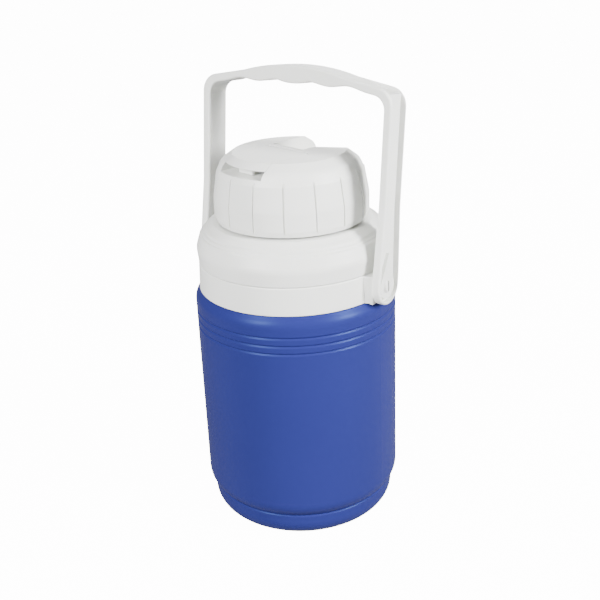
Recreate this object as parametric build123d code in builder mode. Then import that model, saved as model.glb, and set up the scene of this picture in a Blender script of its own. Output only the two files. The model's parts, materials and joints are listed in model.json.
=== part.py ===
"""Small insulated water jug: foam-filled body, screw lid, flip-top screw cap and a swinging bail handle.

Frame: +Z is up and is the axis of the jug, the origin is the centre of the foot, +X is the axis that the
handle swings on, and the front, where the flap opens, is towards -Y. All lengths are millimetres.
"""

import os
from math import cos, radians, sin, tan

from build123d import *

os.makedirs("parts", exist_ok=True)

# ---- driving dimensions ----
BODY_R = 69.0              # straight wall of the blue shell
WALL = 2.4                 # moulded wall of the shell
FOOT_R = 65.2              # foot below the waist groove
WAIST_Z = 18.7             # groove between foot and wall
BEAD_HEIGHTS = (143.2, 148.7, 154.3)
SHOULDER_Z = 168.1         # where the shell steps in under the collar
RIM_Z = 180.0              # top of the shell, which carries the liner's flange
LINER_R = 50.0             # inside of the liner
LINER_WALL = 2.6
MOUTH_Z = 200.0            # rim of the liner's neck
SEAM_Z = 187.0             # seam between collar and lid
NECK_R = 38.0              # pouring neck on the lid
NECK_Z = 236.4
PIVOT_Z = 178.0            # height of the handle's axis
HANDLE_LEAN = 6.6          # how far the handle leans back at rest, degrees
CAP_CLOCK = -10.0          # how far the closed cap is turned from the front, degrees
RIBS = 16                  # grooves round the cap
RIB_WIDTH = 1.3            # width of each groove
RIB_TURN = 8.9             # first groove, from the front towards +X, degrees
FLAP_HALF = 19.0           # half width of the flap
FLAP_AXIS = (-2.0, 259.5)  # the flap's hinge line: back from the cap's axis, height
RAMP_SLOPE = 21.3          # fall of the recess in the back of the crown, degrees
GAP = 0.3                  # clearance beside moving pieces


def outline(*corners):
    """Join (across, up, rounding) corners into one closed line."""
    FilletPolyline(
        *[(across, up) for across, up, _ in corners],
        radius=[rounding for _, _, rounding in corners],
        close=True,
    )


def finish(piece, name):
    """Name a finished piece and write it to its own file."""
    piece.label = name
    export_step(piece, f"parts/{name}.step")


def thread_ridge(root_radius, start, pitch, turns):
    """One raised thread, a tapered ridge wound round the jug's axis."""
    with BuildPart() as ridge:
        with BuildLine() as path:
            Helix(pitch=pitch, height=pitch * turns, radius=root_radius, center=(0, 0, start))
        section = Plane(origin=path.line @ 0, x_dir=(1, 0, 0), z_dir=path.line % 0)
        with BuildSketch(section):
            with BuildLine():
                Polyline((-0.4, -1.5), (1.7, -0.6), (1.7, 0.6), (-0.4, 1.5), close=True)
            make_face()
        sweep(is_frenet=True)
    return ridge.part


# ================= body =================
# inside of the blue shell, which the foam fills
shell_inside = [
    (60.4, RIM_Z, 0),
    (60.4, 166.0, 2),
    (BODY_R - WALL, 158.5, 3),
    (BODY_R - WALL, 26.0, 8),
    (FOOT_R - 2.6, 20.0, 2),
    (FOOT_R - 2.6, WALL, 10),
    (47.2, WALL, 1),
    (44.2, WALL + 3.0, 1.5),
]
PLUG_R = 9.0

beads = []
for height in BEAD_HEIGHTS:
    beads += [(BODY_R, height - 1.1, 0.5), (BODY_R - 0.7, height, 0.3), (BODY_R, height + 1.1, 0.5)]

with BuildPart() as outer_shell:
    with BuildSketch(Plane.XZ):
        with BuildLine():
            outline(
                (PLUG_R, 3.0, 0),
                (43.0, 3.0, 2),
                (46.0, 0.0, 1.5),
                (FOOT_R, 0.0, 12.5),
                (FOOT_R, WAIST_Z - 0.9, 0.5),
                (FOOT_R - 0.6, WAIST_Z, 0.3),
                (BODY_R, WAIST_Z + 5.8, 13),
                *beads,
                (BODY_R, 163.2, 9),
                (65.6, SHOULDER_Z, 0.4),
                (62.8, SHOULDER_Z, 0),
                (62.8, RIM_Z, 0),
                *shell_inside,
                (PLUG_R, WALL + 3.0, 0),
            )
        make_face()
    revolve(axis=Axis.Z)
finish(outer_shell.part, "outer_shell")

# snap-in plug that closes the hole the foam was poured through
with BuildPart() as base_plug:
    with BuildSketch(Plane.XZ):
        with BuildLine():
            outline(
                (0, 2.0, 0),
                (PLUG_R + 2.0, 2.0, 0.6),
                (PLUG_R + 2.0, 3.0, 0),
                (PLUG_R, 3.0, 0),
                (PLUG_R, WALL + 3.0, 0),
                (PLUG_R + 1.0, WALL + 3.0, 0),
                (PLUG_R - 0.5, WALL + 4.5, 0.3),
                (0, WALL + 4.5, 0),
            )
        make_face()
    revolve(axis=Axis.Z)
finish(base_plug.part, "base_plug")

LINER_OUT = LINER_R + LINER_WALL
LINER_FLOOR = 18.0

with BuildPart() as body_foam:
    with BuildSketch(Plane.XZ):
        with BuildLine():
            outline(
                (LINER_OUT, RIM_Z, 0),
                *shell_inside,
                (PLUG_R + 1.2, WALL + 3.0, 0),
                (PLUG_R + 1.2, WALL + 4.7, 0),
                (0, WALL + 4.7, 0),
                (0, LINER_FLOOR - LINER_WALL, 0),
                (LINER_OUT, LINER_FLOOR - LINER_WALL, 8),
            )
        make_face()
    revolve(axis=Axis.Z)
finish(body_foam.part, "body_foam")

liner_thread = thread_ridge(54.0, 188.6, 6.0, 1.25)
with BuildPart() as inner_liner:
    with BuildSketch(Plane.XZ):
        with BuildLine():
            outline(
                (0, LINER_FLOOR - LINER_WALL, 0),
                (LINER_OUT, LINER_FLOOR - LINER_WALL, 8),
                (LINER_OUT, RIM_Z, 0),
                (62.6, RIM_Z, 0),
                (62.6, RIM_Z + 2.4, 0.5),
                (54.0, RIM_Z + 2.4, 1),
                (54.0, MOUTH_Z, 0.8),
                (LINER_R, MOUTH_Z, 0.8),
                (LINER_R, LINER_FLOOR, 6),
                (0, LINER_FLOOR, 0),
            )
        make_face()
    revolve(axis=Axis.Z)
    add(liner_thread)
finish(inner_liner.part, "inner_liner")

# ---- collar with the two flat pads that carry the handle ----
PAD_FACE = 69.2
STUD_R = 3.6
STUD_FLANGE_R = 6.0

with BuildPart() as handle_collar:
    with BuildSketch(Plane.XZ):
        with BuildLine():
            outline(
                (62.9, 168.3, 0),
                (65.7, 168.3, 0.5),
                (64.9, SEAM_Z, 0.7),
                (57.6, SEAM_Z, 0.4),
                (57.6, RIM_Z + 2.6, 0),
                (62.9, RIM_Z + 2.6, 0),
            )
        make_face()
    revolve(axis=Axis.Z)
    for side in (1, -1):
        with BuildSketch(Plane.XY.offset(168.3)):
            with BuildLine():
                Polyline(
                    (side * 63.2, -10),
                    (side * 63.2, 10),
                    (side * 61.5, 12.9),
                    (side * 67.3, 10.8),
                    (side * PAD_FACE, 9.8),
                    (side * PAD_FACE, -9.8),
                    (side * 67.3, -10.8),
                    (side * 61.5, -12.9),
                    close=True,
                )
            make_face()
        extrude(amount=SEAM_Z - 168.3 - 0.4)
        # small lip that laps down over the shell's shoulder
        with Locations((side * (PAD_FACE - 1.1), 0, 168.1)):
            Box(2.2, 19.4, 1.6)
        bore_plane = Plane(origin=(side * 60.0, 0, PIVOT_Z), z_dir=(side, 0, 0))
        with BuildSketch(bore_plane):
            Circle(STUD_R)
        extrude(amount=12.0, mode=Mode.SUBTRACT)
        with BuildSketch(bore_plane):
            Circle(STUD_FLANGE_R + 0.1)
        extrude(amount=4.6, mode=Mode.SUBTRACT)
finish(handle_collar.part, "handle_collar")

# ---- bail handle, drawn in its own leaning plane: x across, y up from the pivot ----
lean = radians(HANDLE_LEAN)
BAIL_FRONT = Plane(origin=(0, 0, PIVOT_Z), x_dir=(1, 0, 0), z_dir=(0, -cos(lean), sin(lean)))
BAIL_SIDE = Plane(origin=(0, 0, PIVOT_Z), x_dir=(0, cos(lean), -sin(lean)), z_dir=(1, 0, 0))
ARM_IN = 69.6              # inner faces of the arms
ARM_OUT = 75.6             # outer edges of the arms' flanges
ARM_WEB = 72.0             # floor of the channel in the arms
HUB_FACE = 74.2            # face of the raised teardrop round each pivot
HUB_R = 12.3               # rounded end of each arm
ARM_HALF = 9.3             # half the arm's width, front to back
FLANGE = 2.0
BAR_TOP = 135.0
GRIP_RIDGE = 123.2         # the grip's underside at its ridges
FINGER_PITCH = 28.0


def side_lines(inset):
    """The handle seen from its side: round hub, narrowing to a straight arm."""
    hub = HUB_R - inset
    arm = ARM_HALF - inset
    Polyline((hub, 0), (hub, 6), (arm, 52), (arm, 150), (-arm, 150), (-arm, 52), (-hub, 6), (-hub, 0))
    ThreePointArc((-hub, 0), (0, -hub), (hub, 0))


with BuildPart() as handle_channel:
    with BuildSketch(BAIL_FRONT):
        with BuildLine():
            FilletPolyline(
                (43.0, 140.0),
                (43.0, 129.6),
                (60.0, 123.6),
                (ARM_WEB, 121.4),
                (ARM_WEB, -20.0),
                (80.0, -20.0),
                (80.0, 140.0),
                radius=(0, 6, 9, 0, 0, 0, 0),
                close=True,
            )
        make_face()
    extrude(amount=20, both=True)
    mirror(about=Plane.YZ)
    with BuildSketch(BAIL_SIDE):
        with BuildLine():
            side_lines(FLANGE)
        make_face()
    extrude(amount=90, both=True, mode=Mode.INTERSECT)
    # raised teardrop round each pivot, left standing in the channel
    for side in (1, -1):
        with BuildSketch(BAIL_SIDE.offset(side * (ARM_WEB - 1))):
            Circle(8.2)
            with BuildLine():
                Polyline((-7.0, 4.3), (7.0, 4.3), (0, 22), close=True)
            make_face()
        extrude(amount=side * (HUB_FACE - ARM_WEB + 1), mode=Mode.SUBTRACT)

with BuildPart() as handle:
    with BuildSketch(BAIL_FRONT):
        with BuildLine():
            crown = ThreePointArc((0, BAR_TOP), (20, BAR_TOP - 1.3), (40, BAR_TOP - 5.3))
            FilletPolyline(
                crown @ 1,
                (ARM_OUT, 123.6),
                (ARM_OUT, -15.0),
                (ARM_IN, -15.0),
                (ARM_IN, 119.0),
                (2 * FINGER_PITCH, GRIP_RIDGE - 2.0),
                radius=(12, 0, 0, 9),
            )
            Spline(
                (2 * FINGER_PITCH, GRIP_RIDGE - 2.0),
                (1.5 * FINGER_PITCH, GRIP_RIDGE + 1.0),
                (FINGER_PITCH, GRIP_RIDGE - 0.3),
                (0.5 * FINGER_PITCH, GRIP_RIDGE + 1.7),
                (0, GRIP_RIDGE),
                tangents=((-1, 0.2), (-1, 0)),
            )
            Line((0, GRIP_RIDGE), (0, BAR_TOP))
        make_face()
    extrude(amount=20, both=True)
    mirror(about=Plane.YZ)
    with BuildSketch(BAIL_SIDE):
        with BuildLine():
            side_lines(0)
        make_face()
    extrude(amount=90, both=True, mode=Mode.INTERSECT)
    fillet(edges(), 1.5)
    add(handle_channel.part, mode=Mode.SUBTRACT)
    with BuildSketch(BAIL_SIDE):
        Circle(STUD_R + 0.08)
    extrude(amount=90, both=True, mode=Mode.SUBTRACT)
finish(handle.part, "handle")

# ---- snap studs that the handle turns on, split at their outer ends ----
for side, name in ((1, "pivot_stud_left"), (-1, "pivot_stud_right")):
    with BuildPart() as pivot_stud:
        with BuildSketch(Plane.XZ):
            with BuildLine():
                outline(
                    (side * 63.1, PIVOT_Z, 0),
                    (side * 63.1, PIVOT_Z + STUD_FLANGE_R, 0),
                    (side * 64.6, PIVOT_Z + STUD_FLANGE_R, 0),
                    (side * 64.6, PIVOT_Z + STUD_R, 0),
                    (side * (HUB_FACE + 0.1), PIVOT_Z + STUD_R, 0),
                    (side * (HUB_FACE + 0.1), PIVOT_Z + STUD_R + 0.8, 0),
                    (side * 75.3, PIVOT_Z + STUD_R - 0.2, 0.3),
                    (side * 75.3, PIVOT_Z, 0),
                )
            make_face()
        revolve(axis=Axis((0, 0, PIVOT_Z), (1, 0, 0)))
        with Locations((side * 74.0, 0, PIVOT_Z)):
            Box(7.0, 1.2, 14.0, mode=Mode.SUBTRACT)
    finish(pivot_stud.part, name)

# ================= lid =================
with BuildPart() as lid_shell:
    with BuildSketch(Plane.XZ):
        with BuildLine():
            outline(
                (62.6, SEAM_Z + 0.4, 0),
                (64.8, SEAM_Z + 0.4, 0.6),
                (65.8, 197.6, 10),
                (62.9, 206.3, 1.5),
                (61.5, 206.9, 0.2),
                (61.2, 208.0, 0.5),
                (59.7, 208.7, 0.2),
                (59.3, 210.3, 0.7),
                (56.6, 211.8, 1.5),
                (53.8, 213.9, 1.5),
                (NECK_R, 213.9, 1.5),
                (NECK_R, NECK_Z, 0.6),
                (35.0, NECK_Z, 0),
                (35.0, 210.8, 0),
                (54.5, 210.8, 1),
                (61.2, 205.2, 3),
                (63.4, 197.5, 8),
            )
        make_face()
    revolve(axis=Axis.Z)
    add(thread_ridge(NECK_R, 219.5, 5.0, 1.5))
finish(lid_shell.part, "lid_shell")

# inner half of the lid: female skirt, plug that hangs in the mouth, and the tube through to the neck
with BuildPart() as lid_liner:
    with BuildSketch(Plane.XZ):
        with BuildLine():
            outline(
                (32.8, 184.0, 0.5),
                (48.5, 184.0, 1.5),
                (48.5, 202.0, 0),
                (56.6, 202.0, 0),
                (56.6, 188.0, 0.5),
                (62.3, 188.0, 0.3),
                (62.3, 190.0, 0.3),
                (59.2, 190.0, 0),
                (59.2, 204.0, 0),
                (46.2, 204.0, 0),
                (46.2, 186.4, 0),
                (35.0, 186.4, 0),
                (35.0, NECK_Z, 0),
                (32.8, NECK_Z, 0.6),
            )
        make_face()
    revolve(axis=Axis.Z)
finish(lid_liner.part, "lid_liner")

with BuildPart() as lid_foam:
    with BuildSketch(Plane.XZ):
        with BuildLine():
            outline(
                (35.0, 186.4, 0),
                (46.2, 186.4, 0),
                (46.2, 204.0, 0),
                (59.2, 204.0, 0),
                (59.2, 206.4, 0),
                (54.3, 210.8, 0.5),
                (35.0, 210.8, 0),
            )
        make_face()
    revolve(axis=Axis.Z)
finish(lid_foam.part, "lid_foam")

with BuildPart() as lid_gasket:
    with BuildSketch(Plane.XZ):
        with BuildLine():
            outline((50.4, MOUTH_Z + 0.1, 0.4), (53.6, MOUTH_Z + 0.1, 0.4), (53.6, 202.0, 0), (50.4, 202.0, 0))
        make_face()
    revolve(axis=Axis.Z)
finish(lid_gasket.part, "lid_gasket")

# ================= cap =================
# the cap's own planes, turned with it: x across the flap, y towards the back
CAP_PLAN = Plane.XY.rotated((0, 0, CAP_CLOCK))
CAP_SIDE = Plane(origin=(0, 0, 0), x_dir=CAP_PLAN.y_dir, z_dir=CAP_PLAN.x_dir)
CAP_BOTTOM = 215.3
CROWN_Z = 260.2
DECK_Z = 250.9             # floor of the well under the flap
CAP_WALL = 2.2
hinge_y, hinge_z = FLAP_AXIS
LAND_Z = hinge_z - 1.3     # bottom of the groove that the hinge lies in
HEEL_Y = -0.2              # back of that groove
RAMP_Y = 3.3               # the recess falls away from here
ramp_fall = tan(radians(RAMP_SLOPE))

cap_outside = [
    (51.9, 219.0, 3),
    (51.9, 231.0, 14),
    (49.0, 247.5, 4),
    (45.5, 254.6, 8),
    (38.0, CROWN_Z - 0.4, 1.5),
    (0, CROWN_Z, 0),
]


def well_body(wall):
    """Open space over the deck and the hinge, grown by a wall on every side."""
    half = FLAP_HALF + GAP + wall
    front = hinge_y - 0.2 + wall
    far = 60.0
    with BuildPart() as well:
        with BuildSketch(CAP_SIDE):
            with BuildLine():
                Polyline(
                    (-far, DECK_Z - wall),
                    (front - 2.5, DECK_Z - wall),
                    (front, LAND_Z - 1.2 - wall),
                    (front, LAND_Z - wall),
                    (HEEL_Y + wall, LAND_Z - wall),
                    (HEEL_Y + wall, 275.0),
                    (-far, 275.0),
                    close=True,
                )
            make_face()
        extrude(amount=half, both=True)
    return well.part


def recess_body(wall):
    """Open space over the ramp: straight on one side, flaring on the other, grown by a wall."""
    far = 60.0
    with BuildPart() as recess:
        with BuildSketch(CAP_SIDE):
            with BuildLine():
                Polyline(
                    (RAMP_Y - wall, 275.0),
                    (RAMP_Y - wall, CROWN_Z - wall),
                    (far, CROWN_Z - wall - ramp_fall * (far - RAMP_Y + wall)),
                    (far, 275.0),
                    close=True,
                )
            make_face()
        extrude(amount=far, both=True)
        with BuildSketch(CAP_PLAN.offset(230.0)):
            with BuildLine():
                FilletPolyline(
                    (-FLAP_HALF - GAP - wall, -5.0),
                    (RECESS_RIGHT + wall, -5.0),
                    (RECESS_RIGHT + wall, 14.0 - wall),
                    (far, 48.0 - wall),
                    (far, far),
                    (-FLAP_HALF - GAP - wall, far),
                    radius=(0, 0, 6, 0, 0, 0),
                    close=True,
                )
            make_face()
        extrude(amount=45.0, mode=Mode.INTERSECT)
    return recess.part


RECESS_RIGHT = 9.0
SPOUT_Y = -21.0
SPOUT_BORE = 6.5
SPOUT_OUT = 8.8
SPOUT_TOP = 256.2

spout_centre = CAP_PLAN.from_local_coords((0, SPOUT_Y, 0))
SPOUT_SIDE = Plane(origin=spout_centre, x_dir=CAP_PLAN.x_dir, z_dir=-CAP_PLAN.y_dir)
SPOUT_AXIS = Axis(spout_centre, (0, 0, 1))

# hollow of the cap: what is left inside its wall, under the well and the recess
with BuildPart() as cap_hollow:
    with BuildSketch(Plane.XZ):
        with BuildLine():
            outline(
                (0, 210.0, 0),
                (51.9 - CAP_WALL, 210.0, 0),
                (51.9 - CAP_WALL, 231.0, 12),
                (46.8, 246.6, 3),
                (43.8, 252.6, 6),
                (37.2, CROWN_Z - 2.7, 1),
                (0, CROWN_Z - CAP_WALL, 0),
            )
        make_face()
    revolve(axis=Axis.Z)
    add(well_body(CAP_WALL), mode=Mode.SUBTRACT)
    add(recess_body(CAP_WALL), mode=Mode.SUBTRACT)

with BuildPart() as cap_shell:
    with BuildSketch(Plane.XZ):
        with BuildLine():
            outline((0, CAP_BOTTOM, 0), (50.4, CAP_BOTTOM, 0.6), *cap_outside)
        make_face()
    revolve(axis=Axis.Z)
    # narrow upright grooves that follow the barrel and run out on its shoulder
    for rib in range(RIBS):
        turn = RIB_TURN - 90 + rib * 360 / RIBS
        with BuildSketch(Plane.XZ.rotated((0, 0, turn))):
            with BuildLine():
                outline(
                    (51.1, 217.4, 0),
                    (51.1, 231.0, 14),
                    (48.3, 247.0, 5),
                    (47.6, 251.5, 0),
                    (56.0, 251.5, 0),
                    (56.0, 217.4, 0),
                )
            make_face()
        extrude(amount=RIB_WIDTH / 2, both=True, mode=Mode.SUBTRACT)
    add(well_body(0), mode=Mode.SUBTRACT)
    add(recess_body(0), mode=Mode.SUBTRACT)
    add(cap_hollow.part, mode=Mode.SUBTRACT)
    with BuildSketch(CAP_PLAN.offset(240.0)):
        with Locations((0, SPOUT_Y)):
            Circle(SPOUT_OUT + 0.1)
    extrude(amount=12.0, mode=Mode.SUBTRACT)
finish(cap_shell.part, "cap_shell")

# threaded inner cap: skirt over the pouring neck, closed above but for the spout's hole
CORE_Z = NECK_Z + 1.4
with BuildPart() as cap_core:
    with BuildSketch(Plane.XZ):
        with BuildLine():
            outline(
                (0, CORE_Z, 0),
                (NECK_R + 2.6, CORE_Z, 0),
                (NECK_R + 2.6, 216.4, 0.5),
                (43.4, 216.4, 0.5),
                (43.4, 234.0, 0),
                (48.3, 234.0, 0.4),
                (48.3, 236.2, 0.4),
                (43.4, 236.2, 0),
                (43.4, CORE_Z + 2.4, 0.8),
                (0, CORE_Z + 2.4, 0),
            )
        make_face()
    revolve(axis=Axis.Z)
    with BuildSketch(CAP_PLAN.offset(CORE_Z)):
        with Locations((0, SPOUT_Y)):
            Circle(SPOUT_BORE)
    extrude(amount=3.0, mode=Mode.SUBTRACT)
finish(cap_core.part, "cap_core")

with BuildPart() as cap_gasket:
    with BuildSketch(Plane.XZ):
        with BuildLine():
            outline((33.4, NECK_Z + 0.1, 0.4), (37.6, NECK_Z + 0.1, 0.4), (37.6, CORE_Z, 0), (33.4, CORE_Z, 0))
        make_face()
    revolve(axis=Axis.Z)
finish(cap_gasket.part, "cap_gasket")

with BuildPart() as drink_spout:
    with BuildSketch(SPOUT_SIDE):
        with BuildLine():
            outline(
                (SPOUT_BORE, CORE_Z + 2.4, 0),
                (SPOUT_OUT, CORE_Z + 2.4, 0),
                (SPOUT_OUT, 244.9, 0),
                (12.0, 244.9, 0),
                (12.0, DECK_Z - CAP_WALL, 0),
                (SPOUT_OUT, DECK_Z - CAP_WALL, 0),
                (SPOUT_OUT, DECK_Z + 1.0, 0),
                (8.2, SPOUT_TOP, 0.6),
                (SPOUT_BORE, SPOUT_TOP, 0.6),
            )
        make_face()
    revolve(axis=SPOUT_AXIS)
finish(drink_spout.part, "drink_spout")

# thin web that the flap turns on, a round bead on a foot
with BuildPart() as flap_hinge:
    with BuildSketch(CAP_SIDE):
        with Locations((hinge_y, hinge_z)):
            Circle(0.5)
        with Locations((hinge_y, (hinge_z + LAND_Z) / 2)):
            Rectangle(0.4, hinge_z - LAND_Z)
    extrude(amount=FLAP_HALF - 1.0, both=True)
finish(flap_hinge.part, "flap_hinge")

# ---- flap ----
LIP_R = 43.0
UNDERSIDE_Z = 257.5
CATCH_Y = -37.4
with BuildPart() as flip_flap:
    with BuildSketch(Plane.XZ):
        with BuildLine():
            outline(
                (0, CROWN_Z, 0),
                (38.0, CROWN_Z - 0.4, 1.5),
                (LIP_R, 256.3, 0.4),
                (LIP_R - 0.3, 255.2, 0.4),
                (37.6, UNDERSIDE_Z, 0.8),
                (0, UNDERSIDE_Z, 0),
            )
        make_face()
    revolve(axis=Axis.Z)
    with BuildSketch(CAP_PLAN.offset(240.0)):
        with Locations((0, hinge_y - 0.6)):
            Rectangle(2 * FLAP_HALF, 60.0, align=(Align.CENTER, Align.MAX))
    extrude(amount=40.0, mode=Mode.INTERSECT)
    # catch that snaps down behind the front of the deck
    with BuildSketch(CAP_PLAN.offset(DECK_Z + 0.6)):
        with Locations((0, CATCH_Y)):
            Rectangle(12.4, 2.2)
    extrude(amount=UNDERSIDE_Z + 0.5 - DECK_Z - 0.6)
finish(flip_flap.part, "flip_flap")

# soft stopper under the flap that closes the spout
with BuildPart() as spout_seal:
    with BuildSketch(SPOUT_SIDE):
        with BuildLine():
            outline(
                (0, 253.6, 0),
                (5.2, 253.6, 0.4),
                (6.1, SPOUT_TOP + 0.3, 0),
                (8.6, SPOUT_TOP + 0.3, 0),
                (8.6, UNDERSIDE_Z, 0),
                (0, UNDERSIDE_Z, 0),
            )
        make_face()
    revolve(axis=SPOUT_AXIS)
finish(spout_seal.part, "spout_seal")
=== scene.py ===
"""Small insulated water jug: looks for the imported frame, in metres."""
import json
from math import cos, radians, sin

import bmesh
import bpy
from mathutils import Matrix, Vector

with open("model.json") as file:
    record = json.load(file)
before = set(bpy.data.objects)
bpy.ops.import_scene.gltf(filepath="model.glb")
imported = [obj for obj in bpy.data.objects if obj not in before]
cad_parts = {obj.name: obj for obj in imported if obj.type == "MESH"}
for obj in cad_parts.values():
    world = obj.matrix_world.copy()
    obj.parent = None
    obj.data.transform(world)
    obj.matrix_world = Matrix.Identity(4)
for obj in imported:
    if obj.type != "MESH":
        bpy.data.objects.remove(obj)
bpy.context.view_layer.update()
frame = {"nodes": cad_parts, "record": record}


# ------------------------------------------------------------------ node helpers
class Graph:
    """Short hand for building one material's node tree."""

    def __init__(self, name):
        self.material = bpy.data.materials.new(name)
        self.material.use_nodes = True
        self.tree = self.material.node_tree
        self.shader = self.tree.nodes["Principled BSDF"]

    def node(self, kind, **values):
        made = self.tree.nodes.new(kind)
        for key, value in values.items():
            if hasattr(made, key):
                setattr(made, key, value)
            else:
                made.inputs[key.replace("_", " ")].default_value = value
        return made

    def link(self, source, target):
        self.tree.links.new(source, target)

    def noise(self, scale, detail=2.0, roughness=0.5):
        """Noise in object space, with its scale in cycles per metre."""
        place = self.node("ShaderNodeTexCoord")
        noise = self.node("ShaderNodeTexNoise", Scale=scale, Detail=detail, Roughness=roughness)
        self.link(place.outputs["Object"], noise.inputs["Vector"])
        return noise.outputs["Fac"]

    def ramp(self, source, stops):
        """Map a 0 to 1 value to colours or greys; stops are (place, colour)."""
        ramp = self.node("ShaderNodeValToRGB")
        while len(ramp.color_ramp.elements) < len(stops):
            ramp.color_ramp.elements.new(0.5)
        for element, (place, colour) in zip(ramp.color_ramp.elements, stops):
            element.position = place
            element.color = colour if len(colour) == 4 else (*colour, 1.0)
        self.link(source, ramp.inputs["Fac"])
        return ramp.outputs["Color"]

    def spread(self, source, low, high):
        """Map a 0 to 1 value to the range low to high."""
        spread = self.node("ShaderNodeMapRange")
        spread.inputs["To Min"].default_value = low
        spread.inputs["To Max"].default_value = high
        self.link(source, spread.inputs["Value"])
        return spread.outputs["Result"]

    def bump(self, heights):
        """Stack bumps; heights are (source, strength, distance in metres)."""
        last = None
        for source, strength, distance in heights:
            bump = self.node("ShaderNodeBump", Strength=strength, Distance=distance)
            self.link(source, bump.inputs["Height"])
            if last:
                self.link(last, bump.inputs["Normal"])
            last = bump.outputs["Normal"]
        self.link(last, self.shader.inputs["Normal"])


def srgb(*levels):
    """An 8-bit screen colour, red, green and blue, as linear light."""
    shares = [level / 255 for level in levels]
    return tuple(share / 12.92 if share <= 0.04 else ((share + 0.055) / 1.055) ** 2.4 for share in shares)


def shade(colour, factor):
    return tuple(min(1.0, c * factor) for c in colour)


# mean roughness wanders by this much below and above
GLOSS_SPREAD = (-0.04, 0.05)
# heights of the mould's pebble and of the slow waviness of a thick moulding, in metres
PEBBLE_HEIGHT = 0.00003
WAVE_HEIGHT = 0.0002


def moulded_plastic(name, colour, gloss, grain, soft_light=0.0, density=1.49, sheen_tint=(1.0, 1.0, 1.0)):
    """Satin moulded plastic: fine pebble from the tool, slow mottling, slightly uneven gloss."""
    graph = Graph(name)
    cloud = graph.noise(9.0, 3.0)
    graph.link(graph.ramp(cloud, [(0.35, shade(colour, 0.965)), (0.65, shade(colour, 1.02))]),
               graph.shader.inputs["Base Color"])
    smudge = graph.noise(38.0, 4.0, 0.6)
    low, high = (gloss + step for step in GLOSS_SPREAD)
    graph.link(graph.spread(smudge, low, high), graph.shader.inputs["Roughness"])
    pebble = graph.noise(2600.0, 2.0)
    wave = graph.noise(70.0, 1.0)
    graph.bump([(wave, 0.2, WAVE_HEIGHT), (pebble, grain, PEBBLE_HEIGHT)])
    if soft_light:
        graph.shader.inputs["Subsurface Weight"].default_value = soft_light
        graph.shader.inputs["Subsurface Radius"].default_value = (0.004, 0.004, 0.003)
        graph.shader.inputs["Subsurface Scale"].default_value = 0.6
    graph.shader.inputs["IOR"].default_value = density
    graph.shader.inputs["Specular Tint"].default_value = (*sheen_tint, 1.0)
    return graph.material


def foam():
    """Poured polyurethane foam: pale yellow with open cells."""
    graph = Graph("poured_foam")
    cells = graph.node("ShaderNodeTexVoronoi", Scale=900.0)
    place = graph.node("ShaderNodeTexCoord")
    graph.link(place.outputs["Object"], cells.inputs["Vector"])
    tint = graph.noise(40.0, 3.0)
    graph.link(graph.ramp(tint, [(0.3, srgb(226, 205, 150)), (0.7, srgb(240, 224, 180))]),
               graph.shader.inputs["Base Color"])
    graph.shader.inputs["Roughness"].default_value = 0.95
    graph.bump([(cells.outputs["Distance"], 0.8, 0.0005)])
    return graph.material


def soft_rubber():
    """Milky silicone of the seals."""
    graph = Graph("silicone")
    tint = graph.noise(60.0, 2.0)
    graph.link(graph.ramp(tint, [(0.3, srgb(196, 200, 202)), (0.7, srgb(210, 214, 215))]),
               graph.shader.inputs["Base Color"])
    graph.link(graph.spread(tint, 0.5, 0.62), graph.shader.inputs["Roughness"])
    graph.shader.inputs["Subsurface Weight"].default_value = 0.3
    graph.shader.inputs["Subsurface Radius"].default_value = (0.003, 0.003, 0.003)
    graph.bump([(graph.noise(1500.0, 2.0), 0.3, 0.00005)])
    return graph.material


WHITE = srgb(240, 241, 237)
BLUE = (0.0205, 0.0245, 0.143)
BLUE_SHEEN = (0.22, 0.42, 1.0)
materials = {
    "blue_shell": moulded_plastic("blue_polyethylene", BLUE, 0.34, 0.30, density=1.24, sheen_tint=BLUE_SHEEN),
    "white_moulding": moulded_plastic("white_polypropylene", WHITE, 0.40, 0.22, 0.15),
    "natural_liner": moulded_plastic("liner_polypropylene", srgb(232, 233, 230), 0.36, 0.15, 0.2),
    "insulating_foam": foam(),
    "soft_seal": soft_rubber(),
}


def dress(obj, material):
    obj.data.materials.clear()
    obj.data.materials.append(material)


for part in frame["record"]["subparts"]:
    dress(frame["nodes"][part["node"]], materials[part["material_slot"]])


# ------------------------------------------------------------------ stage, lights and camera
def area_light(name, place, aim, size, power):
    light = bpy.data.lights.new(name, "AREA")
    light.shape = "RECTANGLE"
    light.size, light.size_y = size
    light.energy = power
    holder = bpy.data.objects.new(name, light)
    bpy.context.scene.collection.objects.link(holder)
    holder.location = place
    holder.rotation_euler = (Vector(aim) - Vector(place)).to_track_quat("-Z", "Y").to_euler()


CAMERA_PLACE = Vector((0.3742, -0.4931, 0.4085))
CAMERA_RIGHT = Vector((0.8083, 0.5874, -0.0392)).normalized()
CAMERA_BACK = Vector((0.5554, -0.7386, 0.3821)).normalized()
LENS = 57.6


def make_camera():
    camera = bpy.data.cameras.new("camera")
    camera.lens = LENS
    camera.sensor_width = 36.0
    camera.clip_start = 0.01
    holder = bpy.data.objects.new("camera", camera)
    bpy.context.scene.collection.objects.link(holder)
    up = CAMERA_BACK.cross(CAMERA_RIGHT).normalized()
    right = up.cross(CAMERA_BACK).normalized()
    turn = Matrix((right, up, CAMERA_BACK)).transposed().to_4x4()
    holder.matrix_world = Matrix.Translation(CAMERA_PLACE) @ turn
    bpy.context.scene.camera = holder


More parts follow.
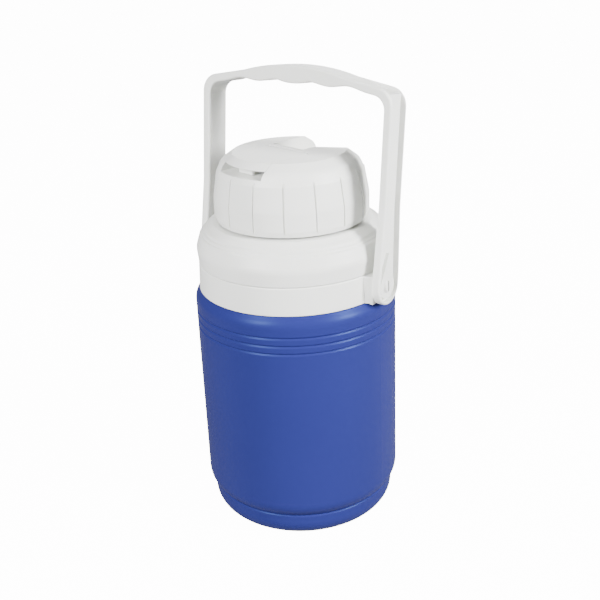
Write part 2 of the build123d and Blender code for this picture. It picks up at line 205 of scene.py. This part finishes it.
def make_floor():
    """A wide pale disc that the jug stands on, lifted to near white where the camera sees it."""
    mesh = bpy.data.meshes.new("floor")
    form = bmesh.new()
    bmesh.ops.create_circle(form, cap_ends=True, segments=96, radius=FLOOR_RADIUS)
    form.to_mesh(mesh)
    form.free()
    floor = bpy.data.objects.new("floor", mesh)
    bpy.context.scene.collection.objects.link(floor)
    graph = Graph("floor_paper")
    greys = [(0.3, (FLOOR_GREYS[0],) * 3), (0.7, (FLOOR_GREYS[1],) * 3)]
    graph.link(graph.ramp(graph.noise(3.0), greys), graph.shader.inputs["Base Color"])
    graph.shader.inputs["Roughness"].default_value = 0.9
    rays = graph.node("ShaderNodeLightPath")
    graph.shader.inputs["Emission Color"].default_value = (1.0, 1.0, 1.0, 1.0)
    lift = graph.spread(rays.outputs["Is Camera Ray"], 0.0, FLOOR_LIFT)
    graph.link(lift, graph.shader.inputs["Emission Strength"])
    dress(floor, graph.material)


def make_world():
    """White room, brighter low down than overhead, darker on the left, near white to the camera."""
    world = bpy.data.worlds.new("studio")
    bpy.context.scene.world = world
    world.use_nodes = True
    nodes, links = world.node_tree.nodes, world.node_tree.links
    back = nodes["Background"]
    back.inputs["Color"].default_value = (1.0, 1.0, 1.0, 1.0)
    place = nodes.new("ShaderNodeTexCoord")
    split = nodes.new("ShaderNodeSeparateXYZ")
    links.new(place.outputs["Generated"], split.inputs["Vector"])
    level = nodes.new("ShaderNodeMapRange")
    level.inputs["From Min"].default_value = 0.05
    level.inputs["From Max"].default_value = 0.9
    level.inputs["To Min"].default_value = ROOM_LOW
    level.inputs["To Max"].default_value = ROOM_HIGH
    links.new(split.outputs["Z"], level.inputs["Value"])
    across = nodes.new("ShaderNodeVectorMath")
    across.operation = "DOT_PRODUCT"
    across.inputs[1].default_value = ROOM_BRIGHT_SIDE
    links.new(place.outputs["Generated"], across.inputs[0])
    shade_side = nodes.new("ShaderNodeMapRange")
    shade_side.inputs["From Min"].default_value = -1.0
    shade_side.inputs["To Min"].default_value = ROOM_SHADE
    shade_side.inputs["To Max"].default_value = 1.0
    links.new(across.outputs["Value"], shade_side.inputs["Value"])
    both = nodes.new("ShaderNodeMath")
    both.operation = "MULTIPLY"
    links.new(level.outputs["Result"], both.inputs[0])
    links.new(shade_side.outputs["Result"], both.inputs[1])
    rays = nodes.new("ShaderNodeLightPath")
    total = nodes.new("ShaderNodeMath")
    total.operation = "MULTIPLY_ADD"
    links.new(rays.outputs["Is Camera Ray"], total.inputs[0])
    total.inputs[1].default_value = FLOOR_LIFT
    links.new(both.outputs["Value"], total.inputs[2])
    links.new(total.outputs["Value"], back.inputs["Strength"])


def around(azimuth, height, distance):
    """A place round the jug: azimuth from the front towards +X, height angle, distance."""
    turn, rise = radians(azimuth), radians(height)
    return MIDDLE + Vector((sin(turn) * cos(rise), -cos(turn) * cos(rise), sin(rise))) * distance


MIDDLE = Vector((0, 0, 0.15))
FLOOR_RADIUS = 9.0
FLOOR_GREYS = (0.21, 0.23)
FLOOR_LIFT = 14.0
ROOM_LOW = 0.70
ROOM_HIGH = 0.24
ROOM_SHADE = 0.24
ROOM_BRIGHT_SIDE = (0.81, 0.59, 0.0)
# name, azimuth and height in degrees, distance, size in metres, power in watts
LIGHTS = [
    ("front", -6, 27, 1.4, (0.4, 0.5), 40.0),
    ("side", 96, 26, 1.3, (0.3, 0.5), 47.0),
    ("fill", 212, 16, 1.5, (0.6, 0.6), 6.5),
]

make_camera()
make_floor()
make_world()
for name, azimuth, height, distance, size, power in LIGHTS:
    area_light(name, around(azimuth, height, distance), MIDDLE, size, power)
